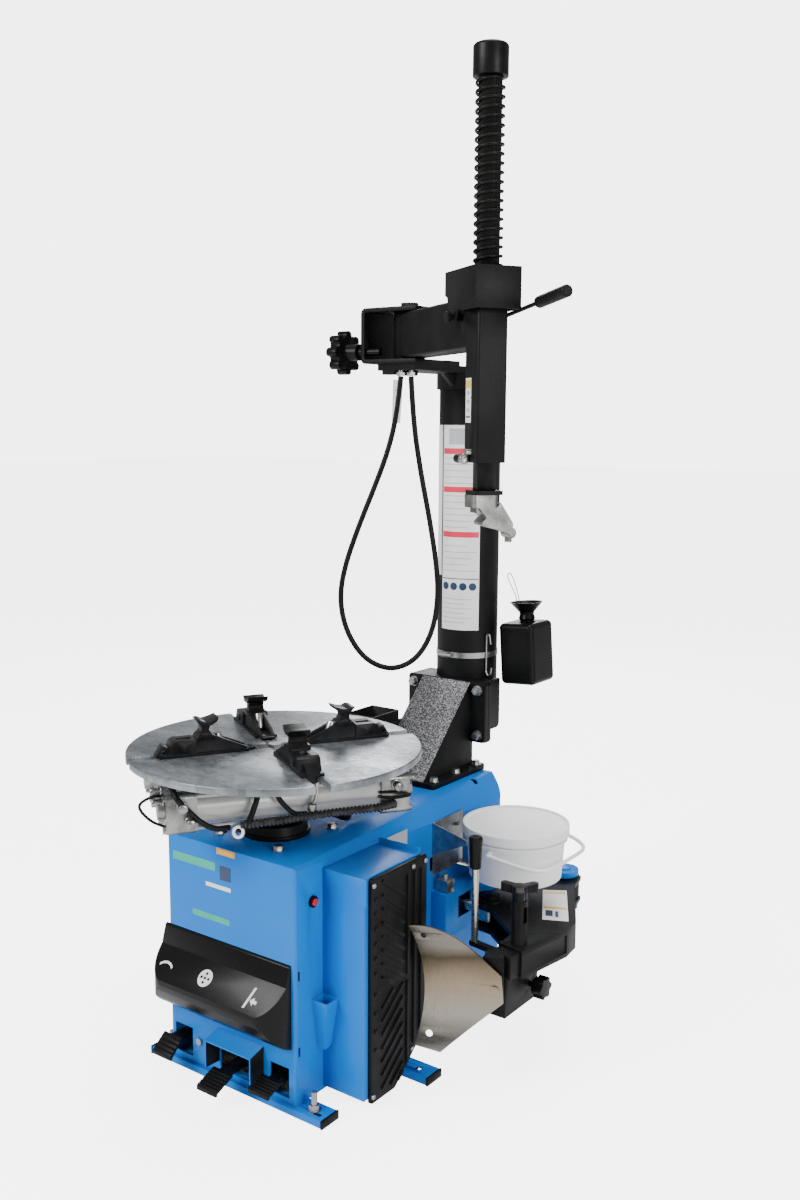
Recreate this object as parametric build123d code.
from build123d import *
import math
import os

# Tire changer machine, in millimetres. Working frame: +X to the operator's right, +Y to the back,
# +Z up, Z = 0 on the floor, X = Y = 0 on the turntable's axis. main() moves everything so that the
# origin is the middle of the machine's footprint.

# ---- driving dimensions ---------------------------------------------------------------------
RUN_GAP = 0.3            # clearance between pieces that move past each other

CAB_HALF = 167           # cabinet half width
CAB_FRONT = -136
CAB_REAR = 610
CAB_BASE = 16            # the cabinet stands on the foot channels
CAB_TOP = 482
SHEET = 3                # cabinet sheet thickness
BUTTON = (-86, 405)      # Y and Z of the push button on the right side

FOOT_DEPTH = 48
FOOT_REACH = 216         # how far the front channel runs each side
FOOT_YS = (-120, 116, 560)
ANCHOR_INSET = 35        # floor anchor holes, from the channels' ends

BUMPER_X = 266
BUMPER_Y = (-57, 121)
BUMPER_Z = (24, 461)
PAD_THICK = 9

SIDE_PEDAL_Z = (28, 88)
MID_PEDAL_Z = (27, 78)
PEDALS = {               # X, then (Y, Z) of the tread's front and back edges
    "pedal_left": (-129, (-198, 54), (-166, 80)),
    "pedal_centre": (25, (-229, 47), (-183, 64)),
    "pedal_right": (127, (-197, 62), (-157, 72))}
PEDAL_PIVOT = (-50, 62)  # Y and Z of the pedals' shaft
PEDAL_SHAFT_R = 7

BELT_X = -122
GEAR_SHAFT = (60, 400)    # Y and Z of the gearbox's worm shaft
MOTOR_SHAFT = (40, 170)

DISC_R = 288
DISC_TOP = 657
DISC_THICK = 14
SLOT_ANGLE = -31         # direction of the first radial slot
SLOT_W = 28
JAW_W = 44
CYL_ANGLE = 54.7         # direction of the two clamp cylinders under the disc
CYL_OFFSET = 100
CYL_Z = 581
CYL_R = 34

COLUMN = (0, 686)
COLUMN_R = 72
COLUMN_BASE = 580
HEAD_PLATE_Z = (1396, 1410)
ARM_PIVOT = (0, 441)
ARM_ANGLE = -33.4        # where the swing arm stands at rest
ARM_LEN = 402            # pivot to tool shaft
ARM_Z = (1422, 1516)
STOP_SCREW = (400, 1436) # Y and Z of the screw that stops the arm
POST_W = 60
POST_Z = (1212, 1491)
HOUSING_Z = (1491, 1567)
HOUSING_X = (308, 452)
HOUSING_W = 91

HEX_AF = 38
SHAFT_Z = (1160, 1900)
CAP_R = 32.5
CAP_TOP = 1957
SPRING_WIRE = 4.6
SPRING_R = 25
SPRING_TURNS = 20

BREAKER_PIVOT = (330, 590)
BREAKER_Z = (229, 285)
BREAKER_KNOB = (272, 180) # Y and Z of the star knob's screw
TUBE_ANGLE = 81.3        # direction of the bead breaker's square tube, from +X
TUBE_FRONT = (428, 194)
TUBE_LEN = 134
ROD_Y = 375              # line of the bead breaker's piston rod
ROD_Z = 257
BLADE_ANGLE = 25
BLADE_END = (445, 135)
BLADE_BOLT_Z = 219
BLADE_T = 5
BLADE_DISH_R = 320

BUCKET = (300, 425)
BUCKET_R = 106
BUCKET_Z = (334, 440)

HOSE_D = 12
HOSE_PLANE = (20, 413)   # a point on the vertical plane that the hose hangs in
HOSE_DIR = (0.807, 0.591)
HOSE_ROUTE = [           # along the plane, then up
    (4, 1383), (9, 1290), (26, 1180), (46, 1080), (63, 975), (67, 905), (57, 835), (31, 780),
    (-6, 750), (-50, 744), (-100, 771), (-137, 832), (-150, 903), (-138, 975), (-106, 1066),
    (-70, 1155), (-42, 1232), (-25, 1310), (-18, 1383)]


# ---- helpers --------------------------------------------------------------------------------
def block(x, y, z):
    """Box from its X, Y and Z ranges."""
    size = Box(abs(x[1] - x[0]), abs(y[1] - y[0]), abs(z[1] - z[0]))
    return Pos((x[0] + x[1]) / 2, (y[0] + y[1]) / 2, (z[0] + z[1]) / 2) * size


def upright(x, y, z, radius):
    """Vertical cylinder over a Z range."""
    return Pos(x, y, (z[0] + z[1]) / 2) * Cylinder(radius, z[1] - z[0])


def along_x(x, y, z, radius):
    """Cylinder along X over an X range."""
    return Pos((x[0] + x[1]) / 2, y, z) * Rot(0, 90, 0) * Cylinder(radius, abs(x[1] - x[0]))


def along_y(x, y, z, radius):
    """Cylinder along Y over a Y range."""
    return Pos(x, (y[0] + y[1]) / 2, z) * Rot(90, 0, 0) * Cylinder(radius, abs(y[1] - y[0]))


def slab(points, z):
    """Plate from a plan outline over a Z range."""
    face = make_face(Polyline(*points, close=True))
    return Pos(0, 0, z[0]) * extrude(face, z[1] - z[0], dir=(0, 0, 1))


def side_slab(points, x):
    """Plate from (Y, Z) points over an X range."""
    face = make_face(Plane.YZ * Polyline(*points, close=True))
    return Pos(x[0], 0, 0) * extrude(face, x[1] - x[0], dir=(1, 0, 0))


def front_slab(points, y):
    """Plate from (X, Z) points over a Y range."""
    face = make_face(Plane.XZ * Polyline(*points, close=True))
    return Pos(0, y[0], 0) * extrude(face, y[1] - y[0], dir=(0, 1, 0))


def upright_edges(shape, radius, pick=lambda e: True):
    """Rounds the vertical edges that pick() accepts."""
    return fillet([e for e in shape.edges().filter_by(Axis.Z) if pick(e)], radius)


def hex_prism(across, z):
    """Hexagonal bar on the Z axis."""
    face = RegularPolygon(across / 2, 6, major_radius=False)
    return Pos(0, 0, z[0]) * extrude(face, z[1] - z[0])


def bolt_up(x, y, z, across=17, height=8):
    """Hex head with a washer, standing on a face at height z."""
    washer = upright(x, y, (z, z + 2), across * 0.68)
    head = Pos(x, y, 0) * hex_prism(across, (z + 2, z + 2 + height))
    return washer + head


def screw_x(x, y, z, radius=5, height=3):
    """Low domed screw head on a face that looks along +X."""
    head = along_x((x, x + height), y, z, radius)
    return chamfer(head.edges().group_by(Axis.X)[-1], height * 0.4)


def group(shapes):
    """Separate solids that share one node."""
    return Compound(children=[s for shape in shapes for s in shape.solids()])


def on_arm(shape):
    """From the swing arm's own frame (X along the arm, pivot at 0) to the machine."""
    return Pos(ARM_PIVOT[0], ARM_PIVOT[1], 0) * Rot(0, 0, ARM_ANGLE) * shape


def on_tube(shape):
    """From the bead breaker tube's frame (X along it, front end at 0) to the machine."""
    return Pos(TUBE_FRONT[0], TUBE_FRONT[1], 0) * Rot(0, 0, TUBE_ANGLE) * shape


def on_blade(shape):
    """From the blade's frame (X along it, its bolted end at 0) to the machine."""
    return Pos(BLADE_END[0], BLADE_END[1], 0) * Rot(0, 0, BLADE_ANGLE) * shape


def on_table(shape, angle):
    """From a radial frame (X outwards) to the turntable."""
    return Rot(0, 0, angle) * shape


# ---- cabinet --------------------------------------------------------------------------------
def cabinet_block(inset):
    """Cabinet's outer form, shrunk by inset, with its sloping shoulders."""
    half = CAB_HALF - inset
    base = CAB_BASE - (20 if inset else 0)
    body = block((-half, half), (CAB_FRONT + inset, CAB_REAR - inset), (base, CAB_TOP - inset))
    body = upright_edges(body, 44 - inset, lambda e: e.center().Y > 0)
    body = upright_edges(body, 7 - inset, lambda e: e.center().Y < 0)
    for side in (-1, 1):
        normal = Vector(side * 0.77, 0.041, 0.636)
        through = Vector(side * 163, CAB_FRONT, CAB_TOP) - normal.normalized() * inset
        body = split(body, bisect_by=Plane(origin=through, z_dir=normal), keep=Keep.BOTTOM)
    return body


def cabinet_shell():
    shell = cabinet_block(0) - cabinet_block(SHEET)
    front = (CAB_FRONT - 5, CAB_FRONT + 20)
    shell -= block((-153, -105), front, SIDE_PEDAL_Z)
    shell -= block((103, 150), front, SIDE_PEDAL_Z)
    shell -= block((-28, 80), front, MID_PEDAL_Z)
    right = (CAB_HALF - 20, CAB_HALF + 5)
    shell -= block(right, (296, 330), (344, 374))
    shell -= block(right, (ROD_Y - 22, ROD_Y + 22), (ROD_Z - 22, ROD_Z + 22))
    shell -= along_x(right, -86, 405, 7.6)
    shell -= upright(0, 0, (CAB_TOP - 40, CAB_TOP + 5), 52)
    shell -= block((116, 134), (520, 536), (CAB_TOP - 20, CAB_TOP + 5))
    return shell + pedal_hood() + tool_pocket()


def pedal_hood():
    """Roof and cheeks over the centre pedal's opening."""
    y = (CAB_FRONT - 37, CAB_FRONT)
    roof = side_slab([(y[0], 99), (y[1], 109), (y[1], 112), (y[0], 102)], (-34, 86))
    cheeks = [side_slab([(y[0], 46), (y[1], 44), (y[1], 111), (y[0], 100)], (x, x + 3)) for x in (-34, 83)]
    return roof + cheeks[0] + cheeks[1]


def tool_pocket():
    """Tapered socket welded into the corner of the cabinet and the bumper box."""
    top = [(CAB_HALF, -91), (205, -91), (205, -57), (CAB_HALF, -57)]
    foot = [(CAB_HALF, -76), (187, -76), (187, -57), (CAB_HALF, -57)]
    hole = [(CAB_HALF + 2, -89), (203, -89), (203, -59), (CAB_HALF + 2, -59)]
    hole_foot = [(CAB_HALF + 2, -74), (185, -74), (185, -59), (CAB_HALF + 2, -59)]

    def ring(points, z):
        return Pos(0, 0, z) * make_face(Polyline(*points, close=True))

    outer = loft([ring(foot, 112), ring(top, 213)])
    inner = loft([ring(hole_foot, 115), ring(hole, 214)])
    return outer - inner


def foot_channels():
    """Three upside-down channels under the cabinet."""
    reaches = ((-FOOT_REACH, 233), (-FOOT_REACH, 304), (-CAB_HALF, CAB_HALF))
    out = []
    for y, (x0, x1) in zip(FOOT_YS, reaches):
        ys = (y - FOOT_DEPTH / 2, y + FOOT_DEPTH / 2)
        bar = block((x0, x1), ys, (1, CAB_BASE)) - block((x0, x1), (ys[0] + 3, ys[1] - 3), (0, CAB_BASE - 3))
        if y != FOOT_YS[2]:
            bar -= upright(x1 - ANCHOR_INSET, y, (0, 20), 6.5)
            bar -= upright(x0 + ANCHOR_INSET, y, (0, 20), 6.5)
        out.append(bar)
    return group(out)


def foot_caps():
    """Moulded end caps and the rubber pads that touch the floor."""
    out = []
    for y, ends in ((FOOT_YS[0], (-FOOT_REACH, 233)), (FOOT_YS[1], (-FOOT_REACH, 304))):
        for x, sign in zip(ends, (-1, 1)):
            xs = sorted((x, x + sign * 4))
            out.append(block(xs, (y - 25, y + 25), (0, CAB_BASE + 1)))
            pad_x = x - sign * 70
            out.append(block((pad_x - 22, pad_x + 22), (y - 20, y + 20), (0, CAB_BASE - 3)))
    for x in (-130, 130):
        out.append(block((x - 22, x + 22), (FOOT_YS[2] - 20, FOOT_YS[2] + 20), (0, CAB_BASE - 3)))
    return group(out)


def bumper_outline(inset):
    """Bumper's side view with its cut rear lower corner."""
    y0, y1 = BUMPER_Y[0] + inset, BUMPER_Y[1] - inset
    z0, z1 = BUMPER_Z[0] + inset, BUMPER_Z[1] - inset
    return [(y0, z0), (26, z0), (y1 - 12, 84), (y1, 100), (y1, z1), (y0, z1)]


def bumper_box():
    """Hollow box that carries the bumper pad on the machine's right side."""
    box = side_slab(bumper_outline(0), (CAB_HALF, BUMPER_X))
    box -= side_slab(bumper_outline(SHEET), (CAB_HALF - 1, BUMPER_X - SHEET))
    lip = block((CAB_HALF, BUMPER_X), (BUMPER_Y[1] - SHEET, BUMPER_Y[1]), (BUMPER_Z[1], BUMPER_Z[1] + 10))
    flange = block((BUMPER_X, BUMPER_X + 4), (BUMPER_Y[0], BUMPER_Y[0] + SHEET), (408, BUMPER_Z[1]))
    return box + lip + flange


def pad_rib(foot, head):
    """Raised bar on the bumper pad from one (Y, Z) point to another."""
    run = Vector(0, head[0] - foot[0], head[1] - foot[1]).normalized()
    dy, dz = -run.Z * 3, run.Y * 3
    corners = [(foot[0] + dy, foot[1] + dz), (foot[0] - dy, foot[1] - dz),
               (head[0] - dy, head[1] - dz), (head[0] + dy, head[1] + dz)]
    return side_slab(corners, (BUMPER_X + 1, BUMPER_X + PAD_THICK + 3.5))


def bumper_pad():
    """Rubber pad with slanted ribs that fan out from its middle, studs and three upright ribs."""
    outline = [(-45, 15), (30, 15), (105, 77), (131, 100), (131, 458), (-45, 458)]
    x0 = BUMPER_X + 0.2
    plate = side_slab(outline, (x0, x0 + PAD_THICK))
    plate = fillet(plate.edges().filter_by(Axis.X), 6)
    plate = chamfer(plate.faces().sort_by(Axis.X)[-1].edges(), 2)
    for y, low, high in ((66, 52, 222), (66, 236, 436), (88, 86, 436), (110, 104, 436)):
        plate += pad_rib((y, low), (y, high))
    left, right, split_z = -14, 53, 231
    for z in range(448, 250, -27):
        reach = min(right - left, (z - split_z - 6) / 0.73)
        plate += pad_rib((left, z), (left + reach, z - 0.73 * reach))
    for z in range(34, 210, 27):
        reach = min(right - left, (split_z - 6 - z) / 0.8)
        plate += pad_rib((left, z), (left + reach, z + 0.8 * reach))
    for y in (14, 36):
        plate += pad_rib((y, 30), (right, 30 + 0.8 * (right - y)))
    for z in (121, 158, 194, 231, 272, 302, 331, 360, 390, 417):
        plate += along_x((BUMPER_X + 1, BUMPER_X + PAD_THICK + 3.5), -33, z, 4.5)
    return plate


def panel_screws():
    """Screws of the bumper pad and the bolt on the front panel."""
    x = BUMPER_X + 0.2 + PAD_THICK
    out = [screw_x(x, y, z) for y, z in ((-40, 30), (-40, 446), (84, 446), (84, 74), (124, 446), (124, 110))]
    out.append(along_y(-85, (CAB_FRONT - 5, CAB_FRONT), 67, 7))
    for y in (330, 396):
        out.append(screw_x(CAB_HALF + 2.5, y, 426, 6, 4))
    return group(out)


def cover_body(side, inset):
    """Solid form of the pedal cover: a side view cut to a plan with wide front corners."""
    x = (-173 + inset, 157 - inset)
    plan = block(x, (CAB_FRONT - 64 + inset, CAB_FRONT + 60), (100, 320))
    plan = fillet(plan.edges().filter_by(Axis.Z).group_by(Axis.Y)[0], 52 - inset)
    return side_slab(side, x) & plan


def pedal_cover():
    """Moulded lectern-shaped cover over the pedals, hollow at the back."""
    y = CAB_FRONT
    outer = [(y, 294), (y - 4, 290), (y - 14, 255), (y - 62, 206), (y - 64, 198), (y - 58, 182), (y - 44, 158),
             (y - 22, 138), (y, 128)]
    inner = [(y + 1, 288), (y - 1, 286), (y - 10, 252), (y - 57, 203), (y - 59, 197), (y - 54, 184),
             (y - 41, 162), (y - 20, 143), (y + 1, 133)]
    shell = cover_body(outer, 0)
    creases = [e for e in shell.edges().filter_by(Axis.X) if e.center().Y < y - 1]
    return fillet(creases, 3) - cover_body(inner, 4)


def panel_fittings():
    """Push button's bezel, and the air inlet and cable gland at the back."""
    bezel = along_x((CAB_HALF, CAB_HALF + 5), *BUTTON, 11) - along_x((CAB_HALF - 1, CAB_HALF + 6), *BUTTON, 7.6)
    gland = along_y(-90, (CAB_REAR, CAB_REAR + 22), 120, 13)
    gland -= along_y(-90, (CAB_REAR + 4, CAB_REAR + 23), 120, 6)
    inlet = along_y(-90, (CAB_REAR, CAB_REAR + 14), 180, 14)
    nipple = along_y(-90, (CAB_REAR + 14, CAB_REAR + 36), 180, 7)
    return group([bezel, gland, inlet + nipple])


def push_button():
    stem = along_x((CAB_HALF - 12, CAB_HALF + 5), *BUTTON, 5)
    cap = along_x((CAB_HALF + 2, CAB_HALF + 9), *BUTTON, 7.2)
    return stem + fillet(cap.edges().group_by(Axis.X)[-1], 1.5)


# ---- drive inside the cabinet ---------------------------------------------------------------
def gearbox():
    """Worm gearbox hung under the cabinet's top, with its two shaft bosses."""
    case = block((-78, 78), (-95, 95), (350, 470))
    case = upright_edges(case, 18)
    flange = block((-95, 95), (-100, 100), (470, CAB_TOP - SHEET))
    neck = upright(0, 0, (430, CAB_TOP), 52)
    worm_boss = along_x((-98, -70), *GEAR_SHAFT, 26)
    bore = upright(0, 0, (360, CAB_TOP + 1), 40.06)
    worm_bore = along_x((-99, -50), *GEAR_SHAFT, 10.05)
    return case + flange + neck + worm_boss - bore - worm_bore


def motor():
    """Electric motor on its foot, across the cabinet."""
    frame = along_x((-78, 110), *MOTOR_SHAFT, 64)
    foot = block((-60, 90), (-12, 92), (98, 116))
    box = block((-20, 50), (84, 124), (150, 200))
    shaft_hole = along_x((-79, -50), *MOTOR_SHAFT, 8.05)
    stand = block((-70, 100), (-22, 102), (92, 98))
    legs = block((-70, 100), (-22, -16), (22, 92)) + block((-70, 100), (96, 102), (22, 92))
    return frame + foot + box + stand + legs - shaft_hole


def grooved_pulley(x, y, z, radius, shaft_r, shaft_to):
    """Pulley with a V groove and a stub shaft towards +X."""
    rim = along_x((x - 11, x + 11), y, z, radius)
    groove = along_x((x - 6.5, x + 6.5), y, z, radius + 1) - along_x((x - 7, x + 7), y, z, radius - 7)
    return rim - groove + along_x((x - 11, shaft_to), y, z, shaft_r)


def gearbox_pulley():
    return grooved_pulley(BELT_X, *GEAR_SHAFT, 62, 10, -52)


def motor_pulley():
    return grooved_pulley(BELT_X, *MOTOR_SHAFT, 32, 8, -52)


def belt_loop(big, small, half):
    """Solid that fills a loop round both pulleys, as wide as twice half."""
    (gear_y, gear_z), (motor_y, motor_z) = GEAR_SHAFT, MOTOR_SHAFT
    run = math.atan2(gear_z - motor_z, gear_y - motor_y)
    lean = math.asin((big - small) / math.hypot(gear_z - motor_z, gear_y - motor_y))
    corners = []
    for y, z, r, sign in ((gear_y, gear_z, big, 1), (motor_y, motor_z, small, 1),
                          (motor_y, motor_z, small, -1), (gear_y, gear_z, big, -1)):
        a = run + sign * (math.pi / 2 - lean)
        corners.append((y + r * math.cos(a), z + r * math.sin(a)))
    xs = (BELT_X - half, BELT_X + half)
    return along_x(xs, gear_y, gear_z, big) + along_x(xs, motor_y, motor_z, small) + side_slab(corners, xs)


def drive_belt():
    """V belt round both pulleys."""
    return belt_loop(61.5, 31.5, 5) - belt_loop(56, 26, 6)


def breaker_cylinder():
    """Large air cylinder across the cabinet that pulls the bead breaker arm."""
    barrel = along_x((-146, 132), ROD_Y, ROD_Z, 90) - along_x((-140, 126), ROD_Y, ROD_Z, 86)
    barrel -= along_x((120, 140), ROD_Y, ROD_Z, 11.06)
    stands = [block((x, x + 12), (ROD_Y - 60, ROD_Y + 60), (22, ROD_Z - 60)) for x in (-120, 96)]
    feet = stands[0] + stands[1] - along_x((-147, 133), ROD_Y, ROD_Z, 89.9)
    return barrel + feet


def breaker_rod():
    """Piston, rod and slotted eye; the arm's pin stays in the slot through the whole swing."""
    piston = along_x((-138, -114), ROD_Y, ROD_Z, 85.9)
    rod = along_x((-114, 256), ROD_Y, ROD_Z, 11)
    z = (ROD_Z - 12, ROD_Z + 12)
    eye = upright_edges(block((250, 290), (ROD_Y - 30, ROD_Y + 26), z), 9)
    slot = block((270 - 9.3, 270 + 9.3), (ROD_Y - 9, ROD_Y + 5), (200, 300))
    for y in (ROD_Y - 9, ROD_Y + 5):
        slot += upright(270, y, (200, 300), 9.3)
    return piston + rod + eye - slot


def valve_block():
    """Floor plate on the foot channels, with the air valves that the pedals work."""
    body = block((-164, 164), (-110, 562), (CAB_BASE, 22))
    for x in (-126, 128):
        body += block((x - 22, x + 22), (-14, 40), (22, 60))
        for port in (x - 10, x + 10):
            body += along_y(port, (39, 54), 44, 6)
    return body


def pedal_frame():
    """Bracket with the shaft that all three pedals turn on."""
    y, z = PEDAL_PIVOT
    shaft = along_x((-164, 164), y, z, PEDAL_SHAFT_R)
    ears = [block((x - 2, x + 2), (y - 12, y + 26), (22, z + 14)) for x in (-162, -60, 80, 162)]
    rail = block((-164, 164), (y + 14, y + 26), (22, 28))
    frame = shaft + rail
    for ear in ears:
        frame += ear
    return frame


def pedal(x, front, back):
    """Pedal lever on the shaft, with a ribbed tread and a turned-down lip."""
    y, z = PEDAL_PIVOT
    slope = (back[1] - front[1]) / (back[0] - front[0])
    hub = along_x((x - 14, x + 14), y, z, 14)
    arm = side_slab([(y, z + 8), (back[0] - 8, back[1] - 3), (back[0] - 8, back[1] - 12), (y, z - 8)],
                    (x - 12, x + 12))
    tread = side_slab([(front[0], front[1] - 9), front, back, (back[0], back[1] - 5),
                       (front[0] + 5, front[1] - 5), (front[0] + 5, front[1] - 9)], (x - 25, x + 25))
    for i in range(int((back[0] - front[0]) / 7)):
        rib_y = front[0] + 3 + i * 7
        rib_z = front[1] + (rib_y - front[0]) * slope
        tread += block((x - 25, x + 25), (rib_y, rib_y + 3), (rib_z - 3, rib_z + 1.8))
    bore = along_x((x - 15, x + 15), y, z, PEDAL_SHAFT_R + 0.06)
    return hub + arm + tread - bore


# ---- turntable ------------------------------------------------------------------------------
def rotary_union():
    """Fixed black seal ring on the cabinet's top."""
    ring = upright(0, 0, (CAB_TOP, 508), 63) + upright(0, 0, (CAB_TOP, 490), 68)
    return ring - upright(0, 0, (480, 510), 42)


def turntable_disc():
    disc = upright(0, 0, (DISC_TOP - DISC_THICK, DISC_TOP), DISC_R)
    disc -= upright(0, 0, (DISC_TOP - 20, DISC_TOP + 5), 8)
    for k in range(4):
        slot = block((39, DISC_R + 10), (-SLOT_W / 2, SLOT_W / 2), (DISC_TOP - 20, DISC_TOP + 5))
        disc -= on_table(slot, SLOT_ANGLE + 90 * k)
    return chamfer(disc.edges().group_by(Axis.Z)[-1].filter_by(GeomType.CIRCLE), 1.5)


def turntable_hub():
    """Spool under the disc with the output shaft that runs into the gearbox."""
    flange_top = 629
    spool = upright(0, 0, (511, flange_top), 52) + upright(0, 0, (612, flange_top), 62)
    spool += upright(0, 0, (flange_top, DISC_TOP - DISC_THICK), 36)
    shaft = upright(0, 0, (370, 511), 40)
    nut = hex_prism(24, (DISC_TOP, DISC_TOP + 4)) + upright(0, 0, (DISC_TOP - DISC_THICK, DISC_TOP), 8)
    return spool + shaft + nut


def clamp_cylinder(side):
    """One double-ended air cylinder with tie rods, hung under the disc by its end blocks."""
    y = side * CYL_OFFSET
    z = CYL_Z
    body = along_x((-176, 176), y, z, CYL_R)
    for x, sign in ((-204, -1), (204, 1)):
        xs = (x - 28, x + 28)
        cap = block(xs, (y - 38, y + 38), (z - 40, z + 36))
        cap = fillet(cap.edges().filter_by(Axis.X), 9)
        hanger = block((x - 16, x + 16), (y - 16, y + 16), (z + 30, DISC_TOP - DISC_THICK))
        boss = along_x((x, x + sign * 40), y, z, 20)
        body += cap + hanger + boss
    for dy in (-30, 30):
        for dz in (-31, 28):
            body += along_x((-238, 238), y + dy, z + dz, 4)
            for x in (-238, 232):
                body += along_x((x, x + 6), y + dy, z + dz, 7)
    return body


def clamp_cylinders():
    return group([on_table(clamp_cylinder(side), CYL_ANGLE) for side in (-1, 1)])


def tube_path(points, radius, bend):
    """Round tube along straight runs with equal bends."""
    path = FilletPolyline(*points, radius=bend)
    start = Plane(origin=path @ 0, z_dir=path % 0)
    return sweep(start * Circle(radius), path=path)


def clamp_hoses():
    """Air hoses between the two cylinders, and the corrugated conduit along one of them."""
    near = -CYL_OFFSET
    low = CYL_Z - CYL_R
    tubes = []
    for x, inner in ((-120, -95), (120, 92)):
        tubes.append(tube_path([(x, near, low), (x, near, low - 20), (inner, 0, low - 20),
                                (x, -near, low - 20), (x, -near, low)], 6, 12))
    high, foot = CYL_Z + 27, CYL_Z - 62
    loop = [(-232, near - 8, high), (-272, near - 8, high), (-290, near, CYL_Z - 22), (-272, near - 2, foot),
            (-204, near - 2, foot), (-204, near - 2, CYL_Z - 40)]
    tubes.append(tube_path(loop, 3.5, 16))
    side, run = near - 38, CYL_Z - 18
    tubes.append(tube_path([(-204, side, run), (-204, side - 16, run), (0, side - 18, run - 8),
                            (204, side - 16, run), (204, side, run)], 7.5, 10))
    return group([on_table(tube, CYL_ANGLE) for tube in tubes])


def jaw_body():
    """Ramp with a groove, the low block behind it and the lug at the outer end, in a radial frame."""
    low = DISC_TOP + RUN_GAP
    half = JAW_W / 2
    ramp_side = [(56, low), (166, low), (166, low + 24), (156, low + 36), (126, low + 36), (58, low + 6)]
    ramp = front_slab(ramp_side, (-17, 17))
    ramp -= block((50, 118), (-9, 9), (low + 5, low + 60))
    tail_side = [(162, low), (216, low), (214, low + 10), (207, low + 27), (199, low + 31), (162, low + 31)]
    tail = front_slab(tail_side, (-half, half))
    tail -= block((168, 196), (-7, 7), (low + 22, low + 40))
    lug = front_slab([(212, low), (236, low), (236, low + 3), (224, low + 23), (212, low + 19)], (-13, 13))
    lug -= along_y(222, (-20, 20), low + 11, 4.5)
    skirt = block((60, 232), (-half, half), (low, low + 5))
    screws = along_y(186, (-half - 2, half + 2), low + 15, 6) + upright(224, 0, (low, low + 8), 7)
    guide = Pos(112, 0, low + 22) * Rot(0, 20, 0) * Cylinder(8, 30)
    return ramp + tail + lug + skirt + screws + guide


def jaw_claw():
    """Hooked claw with a flared lip, standing on the ramp's high end."""
    low = DISC_TOP + RUN_GAP
    side = [(120, 30), (160, 30), (155, 38), (149, 45), (149, 53), (154, 61), (160, 67), (152, 68), (143, 64),
            (132, 66), (117, 71), (121, 63), (133, 56), (136, 48), (132, 41)]
    claw = front_slab([(x, low + z) for x, z in side], (-21, 21))
    for s in (-1, 1):
        claw -= block((115, 165), sorted((s * 16, s * 22)), (low + 38, low + 57))
    return claw


def jaw(angle):
    """Clamping jaw: a slider in its slot with a hooked claw on top."""
    low = DISC_TOP + RUN_GAP
    key = block((70, 214), (-SLOT_W / 2 + RUN_GAP, SLOT_W / 2 - RUN_GAP), (DISC_TOP - 18, low + 4))
    under = DISC_TOP - DISC_THICK - RUN_GAP
    keeper = block((100, 190), (-26, 26), (under - 10, under))
    return on_table(jaw_body() + jaw_claw() + key + keeper, angle)


# ---- column ---------------------------------------------------------------------------------
def column_bracket():
    """Column foot: base plate, hollow wedge with a sloping front, and upright flange."""
    base = block((-99, 99), (404, 622), (CAB_TOP, CAB_TOP + 12))
    base = upright_edges(base, 10)
    wedge = side_slab([(411, 494), (612, 494), (612, 688), (598, 688)], (-67, 67))
    wedge -= side_slab([(424, 486), (600, 486), (600, 666)], (-59, 59))
    flange = block((-108, 108), (598, 612), (548, 690))
    flange = fillet(flange.edges().filter_by(Axis.Y), 8)
    return base + wedge + flange


def frame_bolts():
    """Hex bolts of the column foot, the gearbox and the flange, and the floor anchors."""
    top = CAB_TOP + 12
    out = [bolt_up(x, y, top) for x in (-85, 85) for y in (428, 515, 600)]
    out += [bolt_up(x, y, CAB_TOP) for x, y in ((-78, -80), (78, -80), (-78, 80), (78, 80))]
    for x in (-90, 90):
        for z in (566, 672):
            head = Pos(x, 588, z) * Rot(90, 0, 0) * hex_prism(17, (-5, 5))
            out.append(head + along_y(x, (593, 598), z, 12))
    for x, y in ((198, FOOT_YS[0]), (-181, FOOT_YS[0])):
        stud = upright(x, y, (2, 52), 6)
        out.append(stud + bolt_up(x, y, CAB_BASE, 19, 9))
    return group(out)


def column_saddle():
    """Second flange and clamp box round the foot of the column."""
    flange = block((-108, 108), (612, 626), (545, 690))
    flange = fillet(flange.edges().filter_by(Axis.Y), 10)
    box = block((-100, 100), (626, 676), (573, 690))
    box = fillet(box.edges().filter_by(Axis.X).group_by(Axis.Z)[0], 12)
    return flange + box - upright(COLUMN[0], COLUMN[1], (500, 700), COLUMN_R)


def column_tube():
    tube = upright(COLUMN[0], COLUMN[1], (COLUMN_BASE, HEAD_PLATE_Z[0]), COLUMN_R)
    return tube - upright(COLUMN[0], COLUMN[1], (COLUMN_BASE - 1, HEAD_PLATE_Z[0] - 8), COLUMN_R - 6)


def clamp_bands():
    """Steel band round the column with its screw, and the wire hooks for the bottle."""
    x, y = COLUMN
    band = upright(x, y, (737, 750), COLUMN_R + 1.5) - upright(x, y, (730, 760), COLUMN_R + 0.1)
    screw = along_x((-30, 6), y - COLUMN_R - 7, 743, 5) + block((-22, -2), (y - 81, y - 72), (738, 749))
    route = [(92, 772), (87, 794), (76, 794), (75.6, 706), (84, 694), (92, 700), (96, 716)]
    out = (math.cos(math.radians(-20)), math.sin(math.radians(-20)))
    hook = tube_path([(x + r * out[0], y + r * out[1], z) for r, z in route], 2, 4)
    return group([band + screw, hook])


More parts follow.
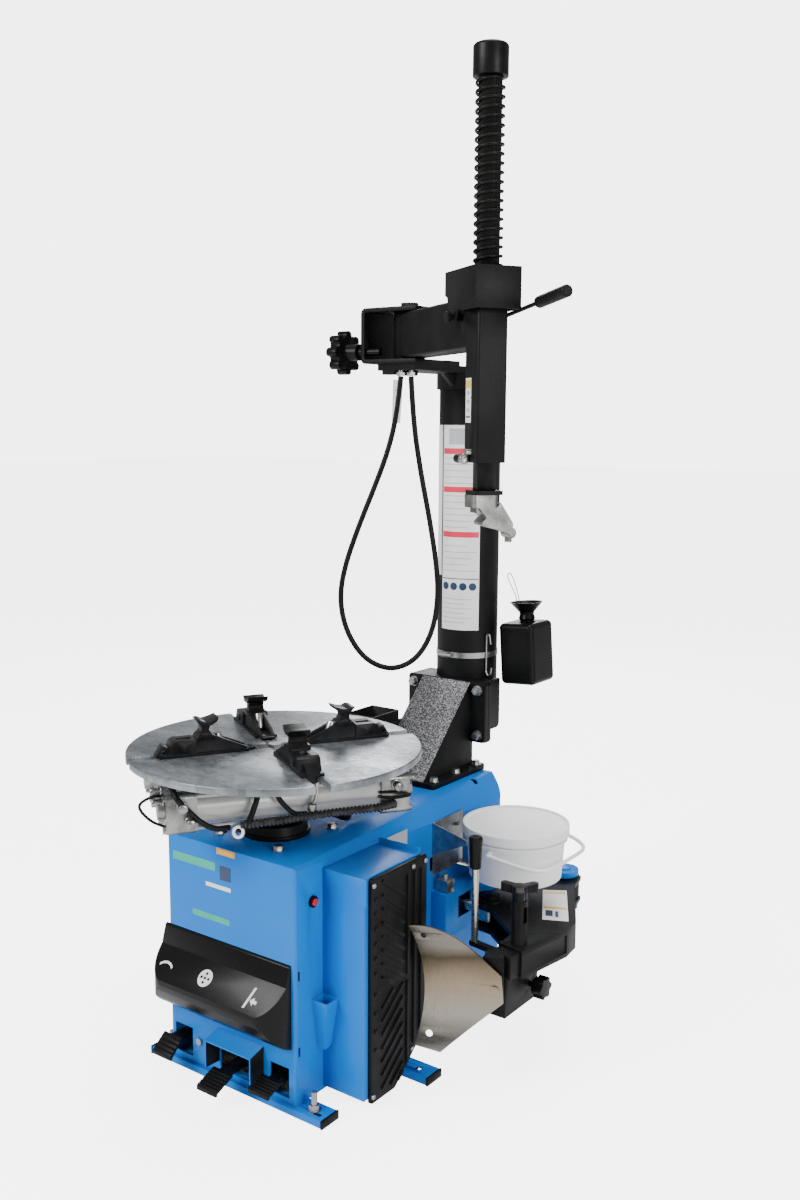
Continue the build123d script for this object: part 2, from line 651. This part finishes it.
def column_head():
    """Head plate, gusset and the C-shaped bracket that holds the swing arm."""
    plate = block((-56, 56), (392, 758), HEAD_PLATE_Z)
    plate = upright_edges(plate, 14)
    gusset = side_slab([(566, 1396), (612, 1396), (612, 1364)], (-5, 5))
    ring = upright(COLUMN[0], COLUMN[1], (HEAD_PLATE_Z[0] - 34, HEAD_PLATE_Z[0]), COLUMN_R + 7)
    ring -= upright(COLUMN[0], COLUMN[1], (HEAD_PLATE_Z[0] - 40, HEAD_PLATE_Z[0] + 1), COLUMN_R + 0.05)
    rest = block((22, 52), (505, 560), (HEAD_PLATE_Z[1], HEAD_PLATE_Z[1] + 10))
    rest += block((-40, -8), (396, 420), (HEAD_PLATE_Z[0] - 9, HEAD_PLATE_Z[0]))
    bracket = c_bracket()
    return plate + gusset + ring + rest + bracket - upright(ARM_PIVOT[0], ARM_PIVOT[1], (1380, 1540), 15)


def c_bracket():
    """Bent plate, open towards +X, round the arm's hub."""
    outer = block((-89, 56), (384, 498), (1410, 1528))
    outer = fillet(outer.edges().filter_by(Axis.Y).group_by(Axis.X)[0], 12)
    inner = block((-80, 57), (383, 499), (1419, 1519))
    inner = fillet(inner.edges().filter_by(Axis.Y).group_by(Axis.X)[0], 4)
    bracket = outer - inner
    return bracket - along_x((-95, -70), STOP_SCREW[0], STOP_SCREW[1], 8.06)


def arm_pivot_bolt():
    """Vertical pin of the swing arm, with its head and nut."""
    x, y = ARM_PIVOT
    pin = upright(x, y, (1392, 1530), 15)
    head = Pos(x, y, 0) * hex_prism(36, (1528, 1539))
    nut = Pos(x, y, 0) * hex_prism(36, (1386, 1396))
    return pin + head + nut


def stop_knob():
    """Eight-lobed hand knob on the screw that stops the swing arm."""
    y, z = STOP_SCREW
    screw = along_x((-112, -46), y, z, 8)
    hub = along_x((-138, -104), y, z, 18)
    wheel = along_x((-161, -135), y, z, 37)
    for k in range(8):
        a = math.radians(k * 45)
        wheel += along_x((-161, -135), y + 37 * math.cos(a), z + 37 * math.sin(a), 10.5)
        b = a + math.radians(22.5)
        wheel -= along_x((-162, -134), y + 44 * math.cos(b), z + 44 * math.sin(b), 9)
    return screw + hub + wheel


def tool_tray():
    """Open tray on the left side of the column foot."""
    tray = block((-150, -72), (408, 508), (566, 620)) - block((-147, -75), (411, 505), (569, 621))
    hanger = block((-73, -67), (440, 564), (572, 598))
    return tray + hanger


def on_bottle(shape):
    """From the bottle's own frame to the machine: it leans a little."""
    return Pos(124, 757, 744) * Rot(0, -4, 0) * shape


def lube_bottle():
    """Rounded bottle on the column's right side."""
    body = fillet(Box(92, 104, 146).edges(), 12)
    return on_bottle(body + upright(0, 8, (70, 75), 16))


def bottle_funnel():
    profile = [(0, 0), (17, 0), (20, 5), (17, 14), (18, 20), (39, 44), (36, 44), (15, 23), (12, 14), (12, 5),
               (0, 5)]
    cone = revolve(make_face(Plane.XZ * Polyline(*profile, close=True)), Axis.Z)
    return on_bottle(Pos(0, 8, 75) * cone)


# ---- swing arm and tool ---------------------------------------------------------------------
def swing_arm():
    """Hub, beam and square post, welded into one piece."""
    hub = upright(0, 0, (1419 + RUN_GAP, 1519 - RUN_GAP), 34)
    beam = block((10, ARM_LEN - POST_W / 2 + 4), (-30, 30), ARM_Z)
    beam = fillet(beam.edges().filter_by(Axis.X), 6)
    half = POST_W / 2
    post = block((ARM_LEN - half, ARM_LEN + half), (-half, half), (POST_Z[0], ARM_Z[1]))
    post = upright_edges(post, 5)
    arm = hub + beam + post
    arm -= upright(0, 0, (1400, 1540), 15.06)
    arm -= upright(ARM_LEN, 0, (POST_Z[0] - 1, ARM_Z[1] + 1), 24)
    arm -= along_y(345, (-40, 40), 1482, 7)
    stop_screw = along_y(ARM_LEN, (-40, -28), 1232, 6)
    return on_arm(arm + stop_screw)


def housing_outline(inset):
    x0, x1 = HOUSING_X[0] + inset, HOUSING_X[1] - inset
    low = HOUSING_Z[0] - (1 if inset else 0)
    return [(x0, 1524), (x0 + 74, low), (x1, low), (x1, HOUSING_Z[1] - inset), (x0, HOUSING_Z[1] - inset)]


def lock_housing():
    """Folded cover over the shaft lock, with the lock plates inside it."""
    half = HOUSING_W / 2
    cover = front_slab(housing_outline(0), (-half, half))
    cover -= front_slab(housing_outline(5), (-half + 5, half - 5))
    plates = block((340, 447), (-40, 40), (1516, 1524)) + block((340, 447), (-40, 40), (1538, 1546))
    cover -= block((290, ARM_LEN + POST_W / 2), (-30, 30), (1400, ARM_Z[1]))
    body = cover + plates - Pos(ARM_LEN, 0, 0) * hex_prism(HEX_AF + 0.6, (1400, 1600))
    pin = along_y(345, (-52, 56), 1482, 7)
    pin += along_y(345, (-58, -52), 1482, 11)
    lug_side = [(330, 1474), (360, 1474), (372, 1500), (318, 1522)]
    lugs = [front_slab(lug_side, (y, y + 5)) for y in (-45.5, 40.5)]
    return on_arm(body + pin + lugs[0] + lugs[1])


def lock_lever():
    """Lever on the far side of the arm that locks the tool shaft."""
    boss = along_y(345, (46, 55), 1482, 14) - along_y(345, (40, 60), 1482, 7.06)
    rod = Pos(345, 51, 1482) * Rot(0, -5.5, 0) * along_x((10, 172), 0, 0, 4)
    grip = Pos(345, 51, 1482) * Rot(0, -5.5, 0) * along_x((166, 276), 0, 0, 11)
    grip = fillet(grip.edges().filter_by(GeomType.CIRCLE), 5)
    return on_arm(boss + rod + grip)


def tool_shaft():
    """Hexagonal shaft with its round cap."""
    bar = hex_prism(HEX_AF, SHAFT_Z)
    cap = upright(0, 0, (SHAFT_Z[1], CAP_TOP), CAP_R)
    cap = fillet(cap.edges().group_by(Axis.Z)[-1], 7)
    return on_arm(Pos(ARM_LEN, 0, 0) * (bar + cap))


def return_spring():
    """Coil spring between the lock housing and the cap."""
    low = HOUSING_Z[1] + SPRING_WIRE / 2 + 0.2
    high = SHAFT_Z[1] - SPRING_WIRE / 2 - 0.2
    path = Helix(pitch=(high - low) / SPRING_TURNS, height=high - low, radius=SPRING_R)
    wire = sweep(Plane(origin=path @ 0, z_dir=path % 0) * Circle(SPRING_WIRE / 2), path=path, is_frenet=True)
    return on_arm(Pos(ARM_LEN, 0, low) * wire)


def mount_head():
    """Mount head: collar block, swept arm, curved wing and the round nub."""
    collar = upright_edges(block((-24, 24), (-32, 20), (1128, 1152)), 8)
    cover = upright_edges(block((-28, 28), (-28, 28), (1152, SHAFT_Z[0])), 6)
    neck = block((-14, 16), (-22, 8), (1118, 1128))
    swept = [(-20, 1130), (20, 1130), (24, 1140), (44, 1110), (52, 1098), (51, 1088), (60, 1082), (48, 1074),
             (40, 1080), (28, 1084), (-11, 1095), (-12, 1101), (-3, 1109)]
    wing = side_slab(swept, (-20, 22))
    wing = fillet(wing.edges().filter_by(Axis.X), 2)
    wing -= Pos(-42, 0, 1088) * Rot(0, -28, 0) * Box(50, 120, 110)
    nub = along_x((-12, 16), 51, 1079, 10.5) + upright(2, 51, (1061, 1079), 7)
    return on_arm(Pos(ARM_LEN, 0, 0) * (collar + cover + neck + wing + nub))


# ---- bead breaker ---------------------------------------------------------------------------
def breaker_bracket():
    """Shelf box on the cabinet's right side and the two ears of the arm's pivot."""
    shelf = block((CAB_HALF, 205), (302, 606), (200, 300))
    shelf -= block((CAB_HALF - 1, 202), (305, 603), (203, 297))
    shelf -= along_x((CAB_HALF - 1, 210), ROD_Y, ROD_Z, 22)
    shelf -= block((200, 206), (ROD_Y - 24, ROD_Y + 24), (ROD_Z - 24, ROD_Z + 24))
    px, py = BREAKER_PIVOT
    parts = shelf
    for z in ((288, 300), (212, 226)):
        ear = block((CAB_HALF, px), (py - 88, py + 16), z)
        ear -= slab([(215, 480), (px + 40, 480), (px + 40, py - 32)], z)
        parts += ear + upright(px, py, z, 32)
    parts += block((CAB_HALF, 205), (py - 10, py + 16), (212, 300))
    pin = upright(px, py, (206, 304), 15)
    block_nut = block((176, 206), (306, 332), (300, 328)) + bolt_up(190, 319, 328, 13, 8)
    return parts + pin + block_nut


def breaker_arm():
    """Hollow swinging arm with the square tube, the rod boss and the lower box."""
    px, py = BREAKER_PIVOT
    outline = [(296, 606), (238, 382), (240, 348), (268, 330), (300, 326), (398, 250), (402, 199), (458, 190),
               (480, 328), (474, 376), (378, 552), (364, 606)]
    z0, z1 = BREAKER_Z
    arm = slab(outline, (z1 - 9, z1)) + slab(outline, (z0, z0 + 9))
    arm += slab([(474, 376), (378, 552), (370, 548), (464, 372)], (z0, z1))
    arm += slab([(480, 328), (474, 376), (464, 372), (470, 326)], (z0, z1))
    arm += upright(px, py, (z0, z1), 34) + upright(270, ROD_Y, (z1 - 9, z1 + 4), 34)
    arm += upright(270, ROD_Y, (z0 - 4, z1 + 9), 8.5) + upright(270, ROD_Y, (z1 + 4, z1 + 9), 20)
    tube = block((0, TUBE_LEN), (-30, 30), BREAKER_Z)
    guide = upright(26, 0, (z1, 375), 16)
    arm += on_tube(tube + guide)
    arm += lower_box()
    arm -= on_tube(block((-5, TUBE_LEN - 6), (-25, 25), (z0 + 4, z1 - 4)))
    arm -= on_tube(upright(26, 0, (z1 - 6, 380), 10))
    arm -= on_tube(block((20, 32), (-20, 0), (330, 362)))
    return arm - upright(px, py, (z0 - 1, z1 + 1), 15.06)


def lower_box():
    """Deep box welded under the arm's front end, with the hole of the knob's screw."""
    box = block((395, 431), (174, 298), (146, 232)) - block((398, 428), (177, 295), (149, 229))
    return box - along_x((424, 436), BREAKER_KNOB[0], BREAKER_KNOB[1], 5.06)


def slide_bar():
    """Bar that telescopes in the square tube, with the blade's ear and the lever's lug."""
    z = (BREAKER_Z[0] + 4 + RUN_GAP, BREAKER_Z[1] - 4 - RUN_GAP)
    bar = block((-28, 92), (-24.6, 24.6), z) - block((15, 67), (-10.5, 10.5), (z[1] - 14, z[1] + 1))
    lug = block((-16, -2), (20, 92), (264, 274))
    ear = block((-38, 3), (14, 22), (196, z[1])) + block((-36, 1), (22, 52), (240, z[1]))
    hole = along_y(-13, (10, 30), BLADE_BOLT_Z, 7.06)
    return on_tube(bar + lug) + on_blade(ear) - on_blade(hole)


def t_handle():
    """Three-lobed handle on the pin that locks the slide bar."""
    pin = upright(26, 0, (268, 378), 9.9)
    lobes = upright(26, 0, (376, 388), 15)
    for k in range(3):
        a = 100 + 120 * k
        arm = block((0, 34), (-8, 8), (386, 402)) + upright(32, 0, (386, 402), 9)
        lobes += Pos(26, 0, 0) * Rot(0, 0, a) * arm
    lobes += upright(26, 0, (384, 402), 15)
    return on_tube(pin + lobes)


def blade_outline():
    """Blade's edge, in its own plane: a concave working edge and a bowed top."""
    edge = ThreePointArc((-163, 104), (-148, 220), (-176, 346))
    top = Spline((-176, 346), (-120, 342), (-59, 304), (0, 249))
    foot = Polyline((0, 249), (4, 195), (-112, 96), (-163, 104))
    return make_face(Plane.XZ * Wire([edge.edges()[0], top.edges()[0]] + list(foot.edges())))


def breaker_blade():
    """Dished blade with two holes, and the bolt and nut it swivels on."""
    sheet = Pos(0, -40, 0) * extrude(blade_outline(), 80, dir=(0, 1, 0))
    centre = BLADE_DISH_R - BLADE_T / 2
    shell = along_x((-300, 100), -centre + 6, BLADE_BOLT_Z, BLADE_DISH_R + BLADE_T / 2)
    shell -= along_x((-301, 101), -centre + 6, BLADE_BOLT_Z, BLADE_DISH_R - BLADE_T / 2)
    blade = sheet & shell
    blade -= along_y(-148, (-60, 60), 326, 6)
    blade -= along_y(-136, (-60, 60), 126, 7)
    bolt = along_y(-13, (2, 7), BLADE_BOLT_Z, 10) + along_y(-13, (6, 32), BLADE_BOLT_Z, 7)
    nut = along_y(-13, (22.5, 30), BLADE_BOLT_Z, 11)
    return on_blade(blade + bolt + nut)


def breaker_lever():
    """Upright pull lever with a moulded grip."""
    rod = upright(0, 0, (274, 424), 7)
    grip = Pos(0, 0, 455) * Cone(11, 14, 66)
    return on_tube(Pos(-9, 84, 0) * (rod + fillet(grip.edges(), 5)))


def breaker_knob():
    """Star knob on the arm's adjusting screw."""
    y, z = BREAKER_KNOB
    screw = along_x((412, 450), y, z, 5)
    wheel = along_x((442, 466), y, z, 18)
    for k in range(6):
        a = math.radians(k * 60)
        wheel += along_x((446, 466), y + 17 * math.cos(a), z + 17 * math.sin(a), 6)
    return screw + wheel


# ---- bucket ---------------------------------------------------------------------------------
def bucket_bracket():
    """Folded sheet bracket on the cabinet's side, with a ledge under the bucket."""
    back = block((CAB_HALF, CAB_HALF + 2.5), (304, 418), (333, 450))
    front = front_slab([(CAB_HALF, 378), (254, 420), (254, 429), (CAB_HALF, 450)], (304, 306.5))
    ledge = block((CAB_HALF, 330), (395, 455), (BUCKET_Z[0] - 3.5, BUCKET_Z[0] - RUN_GAP))
    return back + front + ledge


def bucket():
    """Round tapered tub."""
    x, y = BUCKET
    z0, z1 = BUCKET_Z
    outer = Pos(x, y, (z0 + z1) / 2) * Cone(BUCKET_R - 8, BUCKET_R, z1 - z0)
    inner = Pos(x, y, (z0 + z1) / 2 + 2) * Cone(BUCKET_R - 10, BUCKET_R - 2, z1 - z0)
    rim = upright(x, y, (z1 - 22, z1 - 17), BUCKET_R + 4) - upright(x, y, (z1 - 23, z1), BUCKET_R - 4)
    ears = along_y(x, (y - BUCKET_R - 7, y - BUCKET_R + 3), z1 - 32, 4)
    ears += along_y(x, (y + BUCKET_R - 3, y + BUCKET_R + 7), z1 - 32, 4)
    return outer - inner + rim + ears


def bucket_lid():
    """Snap-on lid with a raised rim and a skirt."""
    x, y = BUCKET
    z = BUCKET_Z[1]
    lid = upright(x, y, (z + 0.3, z + 3), BUCKET_R + 6)
    lid += upright(x, y, (z - 12, z + 7), BUCKET_R + 7) - upright(x, y, (z - 13, z + 8), BUCKET_R + 0.6)
    return lid - upright(x, y, (z + 3, z + 8), BUCKET_R + 3)


def bucket_bail():
    """Wire-like moulded handle, hanging at the bucket's front."""
    x, y = BUCKET
    z = BUCKET_Z[1] - 32
    reach = BUCKET_R + 12
    path = [(x, y - reach, z), (x + 60, y - reach + 2, z - 14), (x + reach - 4, y - 60, z - 30),
            (x + reach + 8, y, z - 34), (x + reach - 4, y + 60, z - 30), (x + 60, y + reach - 2, z - 14),
            (x, y + reach, z)]
    wire = tube_path(path, 4, 26)
    eyes = [along_y(x, sorted((y + s * (reach - 4), y + s * (reach + 4))), z, 8) for s in (-1, 1)]
    pins = along_y(x, (y - reach - 6, y + reach + 6), z, 4.08)
    return wire + eyes[0] + eyes[1] - pins


# ---- free hose ------------------------------------------------------------------------------
def hose_point(across, z):
    return (HOSE_PLANE[0] + HOSE_DIR[0] * across, HOSE_PLANE[1] + HOSE_DIR[1] * across, z)


def hose_radii(points):
    """Each bend as large as its two runs allow."""
    radii = []
    for a, b, c in zip(points, points[1:], points[2:]):
        before = Vector(b) - Vector(a)
        after = Vector(c) - Vector(b)
        half_turn = math.radians(before.get_angle(after)) / 2
        radii.append(0.45 * min(before.length, after.length) / math.tan(half_turn))
    return radii


def hanging_hose():
    """Air hose that hangs in a long loop under the column head."""
    points = [hose_point(s, z) for s, z in HOSE_ROUTE]
    radii = hose_radii(points)
    path = FilletPolyline(*points, radius=radii)
    start = Plane(origin=path @ 0, z_dir=path % 0)
    hose = sweep(start * Circle(HOSE_D / 2), path=path)
    print("hose length", round(path.length), "radii", [round(r) for r in radii])
    print("hose volume ratio", round(hose.volume / (path.length * math.pi * HOSE_D ** 2 / 4), 3))
    return hose


def hose_fittings():
    """The two threaded fittings that the hose's ends are pressed into."""
    out = []
    for s, z in (HOSE_ROUTE[0], HOSE_ROUTE[-1]):
        x, y, _ = hose_point(s, z)
        out.append(Pos(x, y, 0) * hex_prism(17, (z + 1, z + 8)) + upright(x, y, (z + 8, HEAD_PLATE_Z[0]), 6))
    return group(out)


# ---- everything -----------------------------------------------------------------------------
def make_nodes():
    nodes = {
        "cabinet_shell": cabinet_shell(), "foot_channels": foot_channels(), "foot_caps": foot_caps(),
        "bumper_box": bumper_box(), "bumper_pad": bumper_pad(), "panel_screws": panel_screws(),
        "pedal_cover": pedal_cover(), "pedal_frame": pedal_frame(), "panel_fittings": panel_fittings(),
        "push_button": push_button(), "gearbox": gearbox(), "motor": motor(), "drive_belt": drive_belt(),
        "gearbox_pulley": gearbox_pulley(), "motor_pulley": motor_pulley(), "valve_block": valve_block(),
        "breaker_cylinder": breaker_cylinder(), "breaker_rod": breaker_rod(), "frame_bolts": frame_bolts(),
        "rotary_union": rotary_union(), "turntable_disc": turntable_disc(), "turntable_hub": turntable_hub(),
        "clamp_cylinders": clamp_cylinders(), "clamp_hoses": clamp_hoses(),
        "column_bracket": column_bracket(), "column_saddle": column_saddle(), "column_tube": column_tube(),
        "clamp_bands": clamp_bands(), "column_head": column_head(), "arm_pivot_bolt": arm_pivot_bolt(),
        "stop_knob": stop_knob(), "tool_tray": tool_tray(), "lube_bottle": lube_bottle(),
        "bottle_funnel": bottle_funnel(), "swing_arm": swing_arm(), "lock_housing": lock_housing(),
        "lock_lever": lock_lever(), "tool_shaft": tool_shaft(), "return_spring": return_spring(),
        "mount_head": mount_head(), "breaker_bracket": breaker_bracket(), "breaker_arm": breaker_arm(),
        "slide_bar": slide_bar(), "t_handle": t_handle(), "breaker_blade": breaker_blade(),
        "breaker_lever": breaker_lever(), "breaker_knob": breaker_knob(),
        "bucket_bracket": bucket_bracket(), "bucket": bucket(), "bucket_lid": bucket_lid(),
        "bucket_bail": bucket_bail(), "hanging_hose": hanging_hose(), "hose_fittings": hose_fittings()}
    for name, (x, front, back) in PEDALS.items():
        nodes[name] = pedal(x, front, back)
    for k in range(4):
        nodes[f"jaw_{k + 1}"] = jaw(SLOT_ANGLE + 90 * k)
    return nodes


def footprint_centre(nodes):
    """Middle of the machine's box, without the hose."""
    apart = ("hanging_hose", "hose_fittings")
    boxes = [shape.bounding_box() for name, shape in nodes.items() if name not in apart]
    x = (min(b.min.X for b in boxes) + max(b.max.X for b in boxes)) / 2
    y = (min(b.min.Y for b in boxes) + max(b.max.Y for b in boxes)) / 2
    return x, y


def main():
    os.makedirs("parts", exist_ok=True)
    nodes = make_nodes()
    x, y = footprint_centre(nodes)
    print("origin moved to", round(x, 3), round(y, 3), "nodes", len(nodes))
    for name, shape in nodes.items():
        export_step(Pos(-x, -y, 0) * shape, f"parts/{name}.step")


if __name__ == "__main__":
    main()
